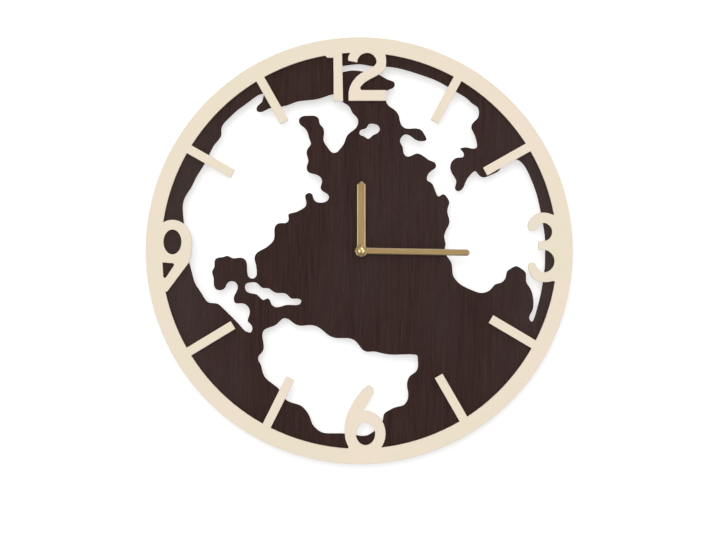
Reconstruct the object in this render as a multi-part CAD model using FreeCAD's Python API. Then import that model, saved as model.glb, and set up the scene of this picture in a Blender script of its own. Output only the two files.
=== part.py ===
import FreeCAD
import Part
import math
import os

from FreeCAD import Vector

# Wall clock with a world map cut out of its dark board, a light ring of figures and hour
# bars laid on it, and a battery quartz movement behind. Millimetres, +Z up, the dial faces -Y.
# The origin is where the axis of the hands meets the wall. Depths are measured from the wall.

# Board and dial ring
ring_radius = 175.0
ring_band_share = 0.072
ring_thickness = 4.0
board_thickness = 4.0
board_inset = 1.0
dial_offset_x = -1.7
dial_offset_z = 0.1
bar_width = 7.4
cut_overrun = 1.0

# Fits and clearances
press_gap = 0.02
running_gap = 0.06
side_gap = 0.1

# Hands
hour_hand_length = 57.0
hour_hand_width = 6.9
hour_hand_bevel = 0.9
hour_hand_tip_height = 2.7
hour_hand_tip_half = 1.0
hour_hand_tip_bow = 0.45
minute_hand_length = 88.8
minute_hand_width = 5.2
minute_hand_bevel = 0.8
minute_hand_tip_height = 1.9
minute_hand_tip_half = 1.4
minute_hand_tip_bow = 0.5
minute_hand_angle = 91.0
hand_hub_radius = 5.3
hand_hub_sides = 8
hand_sheet = 0.5
hand_edge = 0.2
hand_bush_height = 0.9
hand_bush_wall = 0.85
hand_bush_nose_wall = 0.4
hour_hand_lift = 0.5
hand_spacing = 0.5
cap_radius = 3.5
cap_skirt = 0.7
cap_dome_height = 2.0
cap_thread_length = 1.6
cap_thread_step = 0.35

# Movement case
case_above = 22.0
case_below = 34.0
case_wall = 1.3
case_front_wall = 1.5
case_corner = 3.0
partition_thickness = 1.2
cover_thickness = 1.5
post_radius = 1.3
post_inset = 3.2
finger_notch_width = 14.0
finger_notch_depth = 7.0

# Threaded bush, nut, washer, gasket and hanger
bush_radius = 3.5
bush_collar_radius = 5.6
bush_front_length = 8.8
nut_across_flats = 9.0
nut_sides = 6
nut_thickness = 2.4
washer_radius = 5.0
washer_thickness = 0.5
gasket_radius = 15.0
gasket_thickness = 1.0
hanger_sheet = 0.8
hanger_width = 20.0
hanger_drop = 9.0
hanger_rise = 16.0
hanger_hole_radius = 2.5
hanger_hole_height = 9.5

# Going train, from the rotor to the wheel that carries the minute arbor
wheel_thickness = 0.8
pivot_radius = 0.4
pivot_depth = 0.8
level_gap = 0.4
pinion_overlap = 0.2
centre_distance_third = 6.46
third_angle = 100.0
centre_distance_fifth = 6.7
fifth_angle = 200.0
rotor_distance = 5.6
rotor_angle = 185.0
centre_wheel_teeth = 60
third_pinion_teeth = 8
third_wheel_teeth = 64
fourth_pinion_teeth = 8
fourth_wheel_teeth = 40
fifth_pinion_teeth = 8
fifth_wheel_teeth = 48
rotor_pinion_teeth = 8

# Motion work, from the minute arbor to the hour tube
motion_distance = 9.0
motion_angle = 45.0
cannon_teeth = 12
minute_wheel_teeth = 36
minute_pinion_teeth = 10
hour_wheel_teeth = 40
knob_pinion_teeth = 12
knob_angle = -20.0
minute_tube_radius = 1.75
minute_stem_radius = 0.95
hour_tube_radius = 2.55
plate_thickness = 1.2
clutch_radius = 2.2
clutch_thickness = 0.3

# Setting knob
knob_radius = 4.8
knob_thickness = 2.1
knob_recess = 0.3
knob_flutes = 24
knob_flute_radius = 0.3
knob_shaft_radius = 1.0
knob_well_wall = 1.1
knob_well_floor = 1.5

# Motor
magnet_radius = 2.8
magnet_length = 1.6
magnet_gap = 1.7
stator_thickness = 0.8
stator_air_gap = 0.5
stator_margin = 1.0
stator_arm = 4.0
stator_height = 20.5
coil_rise = 2.0
coil_clearance = 1.73
coil_wall_room = 2.4
coil_foot = 4.6
core_width = 2.0
bobbin_flange = 0.8
bobbin_flange_radius = 3.1
bobbin_wall = 0.5
winding_radius = 2.9

# Electronics
board_length = 17.5
board_height = 12.0
board_inset_right = 1.2
board_inset_low = 0.8
board_sheet = 0.8
board_lift = 1.1
board_post_radius = 1.2
chip_radius = 2.6
chip_height = 1.1
crystal_radius = 1.0
crystal_length = 5.2

# Battery, size AA, and its contacts
battery_radius = 7.1
battery_length = 49.2
battery_nub_radius = 2.7
battery_nub_length = 1.3
battery_sleeve = 0.13
battery_side_gap = 0.45
battery_floor_gap = 0.3
contact_sheet = 0.4
contact_gap = 0.15
contact_room = 2.1
contact_leaf_width = 6.0
contact_leg_width = 1.8
contact_boss_radius = 2.5

# Tooth form: heights in modules, half widths as shares of one tooth's pitch
tooth_top_share = 0.8
tooth_root_share = 1.2
tooth_tip_half_share = 0.075
tooth_foot_half_share = 0.235

# Places on the dial are shares of the ring's radius, to the right and up from its centre.
# Each hour bar runs from its inner end towards the ring.
hour_bar_shares = {
    1: ((0.352, 0.605), (0.460, 0.803)),
    2: ((0.590, 0.3705), (0.7895, 0.483)),
    4: ((0.617, -0.320), (0.8145, -0.437)),
    5: ((0.372, -0.5865), (0.4885, -0.789)),
    7: ((-0.323, -0.598), (-0.430, -0.813)),
    8: ((-0.5915, -0.348), (-0.7905, -0.4685)),
    10: ((-0.593, 0.360), (-0.789, 0.471)),
    11: ((-0.350, 0.603), (-0.457, 0.792)),
}

# North America with Greenland and the land bridge south of it
north_america_shares = [
    (-0.824, 0.133), (-0.829, 0.189), (-0.826, 0.230), (-0.815, 0.258), (-0.789, 0.298),
    (-0.767, 0.343), (-0.740, 0.386), (-0.703, 0.455), (-0.684, 0.493), (-0.657, 0.526),
    (-0.648, 0.543), (-0.648, 0.570), (-0.637, 0.597), (-0.609, 0.626), (-0.575, 0.658),
    (-0.526, 0.694), (-0.486, 0.724), (-0.462, 0.736), (-0.449, 0.737), (-0.450, 0.722),
    (-0.458, 0.697), (-0.481, 0.672), (-0.480, 0.657), (-0.462, 0.652), (-0.427, 0.667),
    (-0.386, 0.675), (-0.339, 0.683), (-0.297, 0.699), (-0.243, 0.707), (-0.187, 0.715),
    (-0.149, 0.728), (-0.110, 0.733), (-0.076, 0.698), (-0.048, 0.679), (-0.032, 0.649),
    (-0.008, 0.621), (-0.006, 0.596), (-0.015, 0.577), (-0.040, 0.557), (-0.059, 0.536),
    (-0.073, 0.500), (-0.090, 0.478), (-0.108, 0.461), (-0.126, 0.461), (-0.145, 0.481),
    (-0.168, 0.521), (-0.165, 0.553), (-0.170, 0.577), (-0.186, 0.598), (-0.190, 0.619),
    (-0.201, 0.630), (-0.236, 0.634), (-0.270, 0.629), (-0.282, 0.618), (-0.279, 0.596),
    (-0.257, 0.577), (-0.241, 0.552), (-0.234, 0.525), (-0.227, 0.501), (-0.241, 0.480),
    (-0.247, 0.456), (-0.239, 0.420), (-0.247, 0.391), (-0.240, 0.371), (-0.219, 0.362),
    (-0.192, 0.353), (-0.177, 0.338), (-0.176, 0.316), (-0.181, 0.293), (-0.170, 0.279),
    (-0.150, 0.267), (-0.142, 0.252), (-0.150, 0.235), (-0.174, 0.226), (-0.205, 0.232),
    (-0.216, 0.249), (-0.223, 0.267), (-0.238, 0.271), (-0.252, 0.262), (-0.249, 0.231),
    (-0.252, 0.209), (-0.273, 0.193), (-0.310, 0.178), (-0.332, 0.170), (-0.331, 0.147),
    (-0.340, 0.132), (-0.369, 0.130), (-0.389, 0.122), (-0.398, 0.098), (-0.401, 0.051),
    (-0.416, 0.032), (-0.448, 0.009), (-0.482, -0.012), (-0.491, -0.032), (-0.486, -0.060),
    (-0.481, -0.100), (-0.485, -0.122), (-0.501, -0.131), (-0.517, -0.125), (-0.526, -0.103),
    (-0.528, -0.062), (-0.535, -0.043), (-0.553, -0.033), (-0.593, -0.035), (-0.607, -0.029),
    (-0.620, -0.024), (-0.636, -0.029), (-0.663, -0.033), (-0.676, -0.041), (-0.680, -0.076),
    (-0.690, -0.097), (-0.684, -0.126), (-0.681, -0.165), (-0.672, -0.180), (-0.650, -0.185),
    (-0.630, -0.173), (-0.620, -0.153), (-0.599, -0.143), (-0.578, -0.151), (-0.570, -0.171),
    (-0.580, -0.199), (-0.589, -0.226), (-0.583, -0.244), (-0.551, -0.247), (-0.529, -0.255),
    (-0.515, -0.276), (-0.515, -0.298), (-0.522, -0.332), (-0.508, -0.347), (-0.502, -0.369),
    (-0.508, -0.382), (-0.530, -0.380), (-0.555, -0.357), (-0.600, -0.309), (-0.645, -0.265),
    (-0.669, -0.248), (-0.704, -0.244), (-0.741, -0.200), (-0.773, -0.149), (-0.783, -0.114),
    (-0.797, -0.061), (-0.812, 0.020), (-0.821, 0.080),
]

# The larger island south of it
island_shares = [
    (-0.5365, -0.172), (-0.529, -0.154), (-0.510, -0.149), (-0.484, -0.150), (-0.467, -0.164),
    (-0.455, -0.174), (-0.425, -0.177), (-0.403, -0.192), (-0.382, -0.199), (-0.347, -0.201),
    (-0.333, -0.211), (-0.320, -0.223), (-0.290, -0.225), (-0.273, -0.233), (-0.274, -0.245),
    (-0.297, -0.255), (-0.345, -0.255), (-0.372, -0.263), (-0.396, -0.264), (-0.411, -0.253),
    (-0.419, -0.234), (-0.430, -0.224), (-0.449, -0.231), (-0.463, -0.223), (-0.483, -0.205),
    (-0.513, -0.199), (-0.530, -0.190),
]

# The northern island between the two continents
north_island_shares = [
    (0.001, 0.552), (0.006, 0.566), (0.033, 0.577), (0.044, 0.593), (0.070, 0.596),
    (0.090, 0.587), (0.096, 0.566), (0.083, 0.551), (0.063, 0.541), (0.042, 0.525),
    (0.022, 0.537),
]

# South America
south_america_shares = [
    (-0.347, -0.317), (-0.330, -0.323), (-0.300, -0.345), (-0.276, -0.352), (-0.230, -0.349),
    (-0.200, -0.355), (-0.163, -0.381), (-0.143, -0.397), (-0.112, -0.409), (-0.051, -0.411),
    (-0.025, -0.419), (-0.003, -0.441), (0.018, -0.466), (0.036, -0.474), (0.063, -0.473),
    (0.114, -0.483), (0.180, -0.488), (0.256, -0.487), (0.271, -0.491), (0.2755, -0.511),
    (0.2745, -0.551), (0.264, -0.570), (0.240, -0.587), (0.228, -0.608), (0.2245, -0.634),
    (0.230, -0.668), (0.226, -0.702), (0.208, -0.725), (0.175, -0.734), (0.139, -0.750),
    (0.117, -0.767), (0.1105, -0.797), (0.096, -0.823), (0.064, -0.852), (0.030, -0.869),
    (-0.015, -0.866), (-0.064, -0.859), (-0.130, -0.858), (-0.178, -0.852), (-0.198, -0.839),
    (-0.221, -0.812), (-0.232, -0.781), (-0.248, -0.753), (-0.274, -0.728), (-0.313, -0.715),
    (-0.345, -0.699), (-0.372, -0.657), (-0.407, -0.625), (-0.446, -0.589), (-0.456, -0.561),
    (-0.463, -0.535), (-0.474, -0.513), (-0.473, -0.497), (-0.455, -0.475), (-0.449, -0.442),
    (-0.455, -0.396), (-0.450, -0.377), (-0.418, -0.359), (-0.385, -0.343),
]

# Asia, Europe and Africa, with the arctic coast that passes behind the 12
east_lands_shares = [
    (-0.100, 0.866), (-0.050, 0.872), (0.009, 0.876), (0.060, 0.867), (0.124, 0.865),
    (0.181, 0.858), (0.251, 0.839), (0.317, 0.817), (0.376, 0.793), (0.416, 0.770),
    (0.472, 0.737), (0.510, 0.712), (0.531, 0.692), (0.556, 0.674), (0.563, 0.647),
    (0.554, 0.620), (0.534, 0.600), (0.527, 0.579), (0.538, 0.553), (0.550, 0.519),
    (0.549, 0.483), (0.532, 0.479), (0.504, 0.485), (0.475, 0.478), (0.489, 0.462),
    (0.488, 0.441), (0.463, 0.437), (0.437, 0.421), (0.429, 0.404), (0.437, 0.362),
    (0.456, 0.322), (0.451, 0.290), (0.463, 0.280), (0.484, 0.290), (0.499, 0.322),
    (0.525, 0.360), (0.545, 0.374), (0.562, 0.356), (0.580, 0.345), (0.618, 0.356),
    (0.654, 0.374), (0.680, 0.408), (0.716, 0.428), (0.740, 0.428), (0.785, 0.385),
    (0.805, 0.343), (0.829, 0.281), (0.847, 0.211), (0.863, 0.129), (0.873, 0.057),
    (0.8735, -0.012), (0.872, -0.075), (0.863, -0.145), (0.8505, -0.215), (0.836, -0.271),
    (0.822, -0.318), (0.811, -0.333), (0.801, -0.325), (0.801, -0.302), (0.812, -0.282),
    (0.818, -0.252), (0.814, -0.208), (0.802, -0.175), (0.784, -0.144), (0.781, -0.103),
    (0.760, -0.083), (0.739, -0.0725), (0.714, -0.082), (0.695, -0.098), (0.688, -0.126),
    (0.666, -0.150), (0.638, -0.159), (0.620, -0.179), (0.600, -0.193), (0.571, -0.198),
    (0.530, -0.185), (0.490, -0.167), (0.453, -0.136), (0.439, -0.110), (0.437, -0.084),
    (0.428, -0.048), (0.410, -0.023), (0.4005, 0.003), (0.4055, 0.029), (0.3995, 0.060),
    (0.407, 0.095), (0.4225, 0.128), (0.4225, 0.148), (0.416, 0.171), (0.4155, 0.200),
    (0.423, 0.226), (0.413, 0.250), (0.393, 0.265), (0.372, 0.255), (0.361, 0.270),
    (0.348, 0.305), (0.336, 0.320), (0.319, 0.331), (0.321, 0.354), (0.341, 0.377),
    (0.360, 0.393), (0.357, 0.411), (0.333, 0.423), (0.305, 0.442), (0.267, 0.456),
    (0.245, 0.446), (0.222, 0.443), (0.208, 0.461), (0.203, 0.489), (0.192, 0.511),
    (0.197, 0.532), (0.216, 0.546), (0.238, 0.541), (0.263, 0.523), (0.300, 0.515),
    (0.314, 0.519), (0.308, 0.543), (0.287, 0.569), (0.253, 0.574), (0.212, 0.577),
    (0.196, 0.594), (0.185, 0.636), (0.165, 0.662), (0.137, 0.682), (0.122, 0.711),
    (0.117, 0.739), (0.140, 0.757), (0.165, 0.772), (0.166, 0.787), (0.135, 0.803),
    (0.102, 0.8215), (0.060, 0.833), (0.000, 0.844), (-0.050, 0.844), (-0.098, 0.840),
    (-0.112, 0.853),
]

# Figures: runs of points joined end to end, two points for a straight edge, more for a curve
one_outline_shares = [
    [(-0.121, 0.904), (-0.1195, 0.701)],
    [(-0.1195, 0.701), (-0.0755, 0.701)],
    [(-0.0755, 0.701), (-0.081, 0.960)],
    [(-0.081, 0.960), (-0.160, 0.950)],
    [(-0.160, 0.950), (-0.160, 0.914)],
    [(-0.160, 0.914), (-0.150, 0.904)],
    [(-0.150, 0.904), (-0.121, 0.904)],
]
two_outline_shares = [
    [(-0.045, 0.950), (-0.043, 0.923)],
    [(-0.043, 0.923), (-0.052, 0.903), (-0.051, 0.890)],
    [(-0.051, 0.890), (-0.0085, 0.882)],
    [(-0.0085, 0.882), (0.005, 0.914), (0.036, 0.9265), (0.068, 0.914), (0.0805, 0.882),
     (0.063, 0.860), (0.032, 0.844), (-0.001, 0.825), (-0.031, 0.792), (-0.046, 0.760),
     (-0.050, 0.725)],
    [(-0.050, 0.725), (-0.050, 0.7025)],
    [(-0.050, 0.7025), (0.127, 0.7025)],
    [(0.127, 0.7025), (0.127, 0.7525)],
    [(0.127, 0.7525), (0.011, 0.7525)],
    [(0.011, 0.7525), (0.005, 0.761), (0.013, 0.776), (0.048, 0.802), (0.093, 0.826),
     (0.116, 0.844), (0.1265, 0.882), (0.122, 0.923)],
    [(0.122, 0.923), (0.122, 0.950)],
    [(0.122, 0.950), (-0.045, 0.950)],
]
three_outline_shares = [
    [(0.960, 0.150), (0.925, 0.160)],
    [(0.925, 0.160), (0.896, 0.173), (0.8615, 0.179), (0.826, 0.170), (0.801, 0.147),
     (0.790, 0.112)],
    [(0.790, 0.112), (0.797, 0.098), (0.813, 0.093), (0.829, 0.097)],
    [(0.829, 0.097), (0.841, 0.1185), (0.8615, 0.130), (0.8915, 0.1175), (0.904, 0.0875),
     (0.8915, 0.0575), (0.8615, 0.045)],
    [(0.8615, 0.045), (0.843, 0.045)],
    [(0.843, 0.045), (0.8385, 0.024), (0.843, 0.003)],
    [(0.843, 0.003), (0.863, 0.003)],
    [(0.863, 0.003), (0.900, -0.0125), (0.915, -0.049), (0.900, -0.086), (0.863, -0.101),
     (0.838, -0.086), (0.826, -0.062)],
    [(0.826, -0.062), (0.814, -0.0545), (0.799, -0.059), (0.792, -0.078)],
    [(0.792, -0.078), (0.799, -0.103), (0.821, -0.132), (0.863, -0.147), (0.905, -0.142)],
    [(0.905, -0.142), (0.950, -0.150)],
    [(0.950, -0.150), (0.960, 0.150)],
]
six_stem_shares = [
    [(0.046, -0.630), (0.022, -0.646), (0.003, -0.6665), (-0.032, -0.718), (-0.057, -0.771),
     (-0.068, -0.841), (-0.064, -0.880), (-0.051, -0.917)],
    [(-0.051, -0.917), (-0.048, -0.950)],
    [(-0.048, -0.950), (0.020, -0.950)],
    [(0.020, -0.950), (0.016, -0.753)],
    [(0.016, -0.753), (0.070, -0.665)],
    [(0.070, -0.665), (0.066, -0.647), (0.046, -0.630)],
]
nine_tail_shares = [
    [(-0.7835, 0.041), (-0.785, 0.005), (-0.790, -0.027), (-0.7986, -0.056)],
    [(-0.7986, -0.056), (-0.900, -0.192)],
    [(-0.900, -0.192), (-0.955, -0.192)],
    [(-0.955, -0.192), (-0.955, 0.041)],
    [(-0.955, 0.041), (-0.7835, 0.041)],
]
nine_gap_shares = [
    [(-0.9215, -0.0550), (-0.8720, -0.0590)],
    [(-0.8720, -0.0590), (-0.8680, -0.0640), (-0.8690, -0.0710)],
    [(-0.8690, -0.0710), (-0.9045, -0.1240)],
    [(-0.9045, -0.1240), (-0.9115, -0.1275), (-0.9180, -0.1220)],
    [(-0.9180, -0.1220), (-0.9215, -0.0550)],
]
# Centre to the right, centre up, half width, half height
six_bowl_share = (0.0280, -0.857, 0.0955, 0.106)
six_hole_share = (0.0295, -0.8576, 0.045, 0.0533)
nine_bowl_share = (-0.875, 0.041, 0.0915, 0.104)
nine_hole_share = (-0.875, 0.041, 0.042, 0.058)


def disc(radius, back, front, x=0, z=0):
    """Round bar along the depth."""
    return Part.makeCylinder(radius, front - back, Vector(x, -back, z), Vector(0, -1, 0))


def tube(outer, inner, back, front, x=0, z=0):
    """Round bar with a bore."""
    return disc(outer, back, front, x, z).cut(disc(inner, back, front, x, z))


def block(left, right, low, top, back, front):
    """Box between two sides, two heights and two depths."""
    return Part.makeBox(right - left, front - back, top - low, Vector(left, -front, low))


def joined(*solids):
    """One solid from overlapping or touching ones."""
    return solids[0].fuse(list(solids[1:])).removeSplitter()


def slab(wire, back, front):
    """Sheet of the outline's shape between two depths."""
    face = Part.Face(wire)
    face.translate(Vector(0, -back, 0))
    return face.extrude(Vector(0, back - front, 0))


def dial_point(place):
    """Point of the dial for a place given in shares of the ring's radius."""
    x = dial_offset_x + place[0] * ring_radius
    z = dial_offset_z + place[1] * ring_radius
    return Vector(x, 0, z)


def coast_wire(shares):
    """Closed smooth line through the places of a coast."""
    curve = Part.BSplineCurve()
    curve.interpolate(Points=[dial_point(place) for place in shares], PeriodicFlag=True)
    return Part.Wire([curve.toShape()])


def run_edge(run):
    """Straight edge through two places, smooth curve through more."""
    points = [dial_point(place) for place in run]
    if len(points) == 2:
        return Part.LineSegment(points[0], points[1]).toShape()
    curve = Part.BSplineCurve()
    curve.interpolate(Points=points)
    return curve.toShape()


def outline_wire(runs):
    """Closed outline from runs that follow each other."""
    return Part.Wire([run_edge(run) for run in runs])


def ellipse_wire(shares):
    """Upright or lying ellipse on the dial."""
    centre = dial_point(shares[:2])
    across = Vector(shares[2] * ring_radius, 0, 0)
    up = Vector(0, 0, shares[3] * ring_radius)
    if shares[2] > shares[3]:
        curve = Part.Ellipse(centre + across, centre + up, centre)
    else:
        curve = Part.Ellipse(centre + up, centre + across, centre)
    return Part.Wire([curve.toShape()])


def polygon_wire(points):
    """Closed outline of straight edges."""
    return Part.makePolygon(points + [points[0]])


def regular_points(radius, sides, turn):
    """Corners of a regular polygon about the axis of the hands."""
    points = []
    for number in range(sides):
        angle = math.radians(turn) + math.tau * number / sides
        points.append(Vector(radius * math.cos(angle), 0, radius * math.sin(angle)))
    return points


def toothed(teeth, module, phase, back, front, x, z):
    """Toothed disc; phase is the angle of one tooth's centre line."""
    pitch_radius = teeth * module / 2
    tip = pitch_radius + tooth_top_share * module
    root = pitch_radius - tooth_root_share * module
    step = math.tau / teeth
    points = []
    for number in range(teeth):
        middle = phase + number * step
        for radius, share in (
            (root, -tooth_foot_half_share),
            (tip, -tooth_tip_half_share),
            (tip, tooth_tip_half_share),
            (root, tooth_foot_half_share),
        ):
            angle = middle + share * step
            points.append(Vector(x + radius * math.cos(angle), 0, z + radius * math.sin(angle)))
    return slab(polygon_wire(points), back, front)


def meshing_phase(direction, driver_teeth, driver_phase, driven_teeth):
    """Phase of the driven teeth so that they fall into the driver's gaps."""
    turned = (direction - driver_phase) * driver_teeth / driven_teeth
    return direction + math.pi + math.pi / driven_teeth + turned


def place_from(x, z, distance, angle):
    """Point at a distance and an angle from another."""
    return x + distance * math.cos(angle), z + distance * math.sin(angle)


def pivot_hole(back, front, x, z, radius=pivot_radius):
    """Bearing hole with a running fit."""
    return disc(radius + running_gap, back, front, x, z)


# Band of the ring
ring_band = ring_band_share * ring_radius

# Depths, from the wall to the front
cover_inner = cover_thickness
magnet_back = cover_inner + magnet_gap
magnet_front = magnet_back + magnet_length
stator_back = magnet_back + (magnet_length - stator_thickness) / 2
stator_front = stator_back + stator_thickness
fifth_back = magnet_front + level_gap
fifth_front = fifth_back + wheel_thickness
fourth_back = fifth_front + level_gap + pinion_overlap
fourth_front = fourth_back + wheel_thickness
third_back = fourth_front + level_gap + pinion_overlap
third_front = third_back + wheel_thickness
centre_back = third_front + 2 * level_gap
centre_front = centre_back + wheel_thickness
plate_back = centre_front + clutch_thickness + level_gap
plate_front = plate_back + plate_thickness
cannon_back = plate_front + level_gap
minute_wheel_back = cannon_back + pinion_overlap
minute_wheel_front = minute_wheel_back + wheel_thickness
cannon_front = minute_wheel_front + pinion_overlap
hour_wheel_back = cannon_front + level_gap
hour_wheel_front = hour_wheel_back + wheel_thickness
case_floor = hour_wheel_front + level_gap
case_depth = case_floor + case_front_wall
collar_front = case_depth + hanger_sheet
board_back = collar_front + gasket_thickness
board_front = board_back + board_thickness
ring_front = board_front + ring_thickness
washer_front = board_front + washer_thickness
nut_front = washer_front + nut_thickness
bush_front = case_depth + bush_front_length
hour_bush_back = bush_front + hour_hand_lift
hour_hand_back = hour_bush_back + hand_bush_height
hour_hand_front = hour_hand_back + hand_sheet
hour_tube_front = hour_hand_front + pinion_overlap
minute_bush_back = hour_tube_front + hand_spacing
minute_hand_back = minute_bush_back + hand_bush_height
minute_hand_front = minute_hand_back + hand_sheet
minute_tube_front = minute_hand_front
cap_front = minute_hand_front + cap_skirt + cap_dome_height

# Places of the arbors, seen from the front
third_direction = math.radians(third_angle)
fifth_direction = math.radians(fifth_angle)
rotor_direction = math.radians(rotor_angle)
motion_direction = math.radians(motion_angle)
knob_direction = math.radians(knob_angle)
third_x, third_z = place_from(0, 0, centre_distance_third, third_direction)
fifth_x, fifth_z = place_from(0, 0, centre_distance_fifth, fifth_direction)
rotor_x, rotor_z = place_from(fifth_x, fifth_z, rotor_distance, rotor_direction)
motion_x, motion_z = place_from(0, 0, motion_distance, motion_direction)
knob_x, knob_z = place_from(motion_x, motion_z, motion_distance, knob_direction)

# Modules follow from the distances and the teeth
centre_module = 2 * centre_distance_third / (centre_wheel_teeth + third_pinion_teeth)
third_module = 2 * centre_distance_third / (third_wheel_teeth + fourth_pinion_teeth)
fourth_module = 2 * centre_distance_fifth / (fourth_wheel_teeth + fifth_pinion_teeth)
fifth_module = 2 * rotor_distance / (fifth_wheel_teeth + rotor_pinion_teeth)
cannon_module = 2 * motion_distance / (cannon_teeth + minute_wheel_teeth)
hour_module = 2 * motion_distance / (minute_pinion_teeth + hour_wheel_teeth)

# Movement case outline
battery_half_length = battery_length / 2
stator_reach = magnet_radius + stator_air_gap + stator_margin
coil_x = rotor_x - stator_reach - coil_clearance - bobbin_flange_radius
works_reach = bobbin_flange_radius - coil_x + coil_wall_room
inner_right = max(battery_half_length + contact_room, works_reach)
inner_left = -inner_right
case_right = inner_right + case_wall
case_left = -case_right
inner_top = case_above - case_wall
bay_low = -case_below + case_wall
bay_top = bay_low + 2 * (battery_radius + battery_side_gap)
partition_top = bay_top + partition_thickness
battery_z = (bay_low + bay_top) / 2
battery_depth = case_floor - battery_floor_gap - battery_radius
post_x = inner_right - post_inset
post_places = [
    (-post_x, inner_top - post_inset),
    (post_x, inner_top - post_inset),
    (-post_x, partition_top + post_radius + side_gap + contact_sheet),
    (post_x, partition_top + post_radius + side_gap + contact_sheet),
]
board_right = inner_right - board_inset_right
board_left = board_right - board_length
board_low = partition_top + board_inset_low
board_top = board_low + board_height
board_back_face = cover_inner + board_lift
board_front_face = board_back_face + board_sheet
leg_front = board_front_face + contact_leg_width
nodes = {}


def build_map_disc():
    """Dark board with the seas left standing and the lands cut out."""
    board = disc(ring_radius - board_inset, board_back, board_front, dial_offset_x, dial_offset_z)
    tools = []
    for shares in (
        north_america_shares,
        island_shares,
        north_island_shares,
        south_america_shares,
        east_lands_shares,
    ):
        tools.append(slab(coast_wire(shares), board_back - cut_overrun, board_front + cut_overrun))
    tools.append(disc(bush_radius + side_gap, board_back - cut_overrun, board_front + cut_overrun))
    return board.cut(tools)


def build_hour_bar(ends):
    """Straight bar from its inner end into the ring."""
    inner = dial_point(ends[0])
    outer = dial_point(ends[1])
    along = (outer - inner).normalize()
    side = Vector(-along.z, 0, along.x) * (bar_width / 2)
    outer = outer + along * (ring_band / 2)
    corners = [inner + side, outer + side, outer - side, inner - side]
    return slab(polygon_wire(corners), board_front, ring_front)


def build_dial_ring():
    """Ring, hour bars and figures cut as one sheet."""
    sheet = disc(ring_radius, board_front, ring_front, dial_offset_x, dial_offset_z)
    inside = ring_radius - ring_band
    sheet = sheet.cut(disc(inside, board_front, ring_front, dial_offset_x, dial_offset_z))
    pieces = [build_hour_bar(ends) for ends in hour_bar_shares.values()]
    for runs in (
        one_outline_shares,
        two_outline_shares,
        three_outline_shares,
        six_stem_shares,
        nine_tail_shares,
    ):
        pieces.append(slab(outline_wire(runs), board_front, ring_front))
    for bowl in (six_bowl_share, nine_bowl_share):
        pieces.append(slab(ellipse_wire(bowl), board_front, ring_front))
    rim = disc(ring_radius, board_front, ring_front, dial_offset_x, dial_offset_z)
    holes = []
    for hole in (six_hole_share, nine_hole_share):
        holes.append(slab(ellipse_wire(hole), board_front - cut_overrun, ring_front + cut_overrun))
    gap = outline_wire(nine_gap_shares)
    holes.append(slab(gap, board_front - cut_overrun, ring_front + cut_overrun))
    return joined(sheet, *pieces).common(rim).cut(holes)


def hand_wire(length, width, inset, tip):
    """Outline of a hand that points up: eight-sided hub, parallel sides, shouldered tip."""
    tip_height, tip_half, tip_bow = tip
    half = width / 2 - inset
    hub = hand_hub_radius - inset
    end = length - inset
    corners = regular_points(hub, hand_hub_sides, 0)
    right_corner = corners[1]
    left_corner = corners[3]
    peak = corners[2]
    rise = (peak.z - right_corner.z) * (right_corner.x - half) / right_corner.x
    right_foot = Vector(half, 0, right_corner.z + rise)
    left_foot = Vector(-half, 0, left_corner.z + rise)
    right_shoulder = Vector(half, 0, length - tip_height)
    left_shoulder = Vector(-half, 0, length - tip_height)
    right_nose = Vector(tip_half, 0, end - tip_bow)
    left_nose = Vector(-tip_half, 0, end - tip_bow)
    left_side = [left_nose, left_shoulder, left_foot] + corners[3:]
    right_side = corners[:2] + [right_foot, right_shoulder, right_nose]
    sides = Part.makePolygon(left_side + right_side)
    nose = Part.Arc(right_nose, Vector(0, 0, end), left_nose).toShape()
    return Part.Wire(sides.Edges + [nose])


def build_hand(length, width, bevel, tip, bore, back):
    """Flat strip with bevelled edges, pointing up."""
    middle = back + hand_edge
    front = back + hand_sheet
    base = slab(hand_wire(length, width, 0, tip), back, middle)
    low = hand_wire(length, width, 0, tip)
    low.translate(Vector(0, -middle, 0))
    high = hand_wire(length, width, bevel, tip)
    high.translate(Vector(0, -front, 0))
    crown = Part.makeLoft([low, high], True, True)
    return joined(base, crown).cut(disc(bore, back - cut_overrun, front + cut_overrun))


def turned_clockwise(shape, angle):
    """Shape turned about the axis of the hands, clockwise from the front."""
    turned = shape.copy()
    turned.rotate(Vector(0, 0, 0), Vector(0, 1, 0), angle)
    return turned


def build_hand_bush(inner, back, hand_back):
    """Collar behind a hand, with a nose that fills the hand's hole."""
    nose_front = hand_back + hand_sheet
    collar = tube(inner + hand_bush_wall, inner, back, hand_back)
    nose = tube(inner + hand_bush_nose_wall, inner, back, nose_front)
    return joined(collar, nose)


def build_cap_nut():
    """Domed brass cap with a blind thread."""
    skirt_front = minute_hand_front + cap_skirt
    dome_radius = (cap_radius ** 2 + cap_dome_height ** 2) / (2 * cap_dome_height)
    ball = Part.makeSphere(dome_radius, Vector(0, -(cap_front - dome_radius), 0))
    column = disc(cap_radius, skirt_front, cap_front)
    skirt = disc(cap_radius, minute_hand_front, skirt_front + press_gap)
    bore_front = minute_hand_front + cap_thread_length
    bore_radius = minute_tube_radius - cap_thread_step + press_gap
    bore = disc(bore_radius, minute_hand_front - cut_overrun, bore_front)
    return joined(skirt, ball.common(column)).cut(bore)


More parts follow.
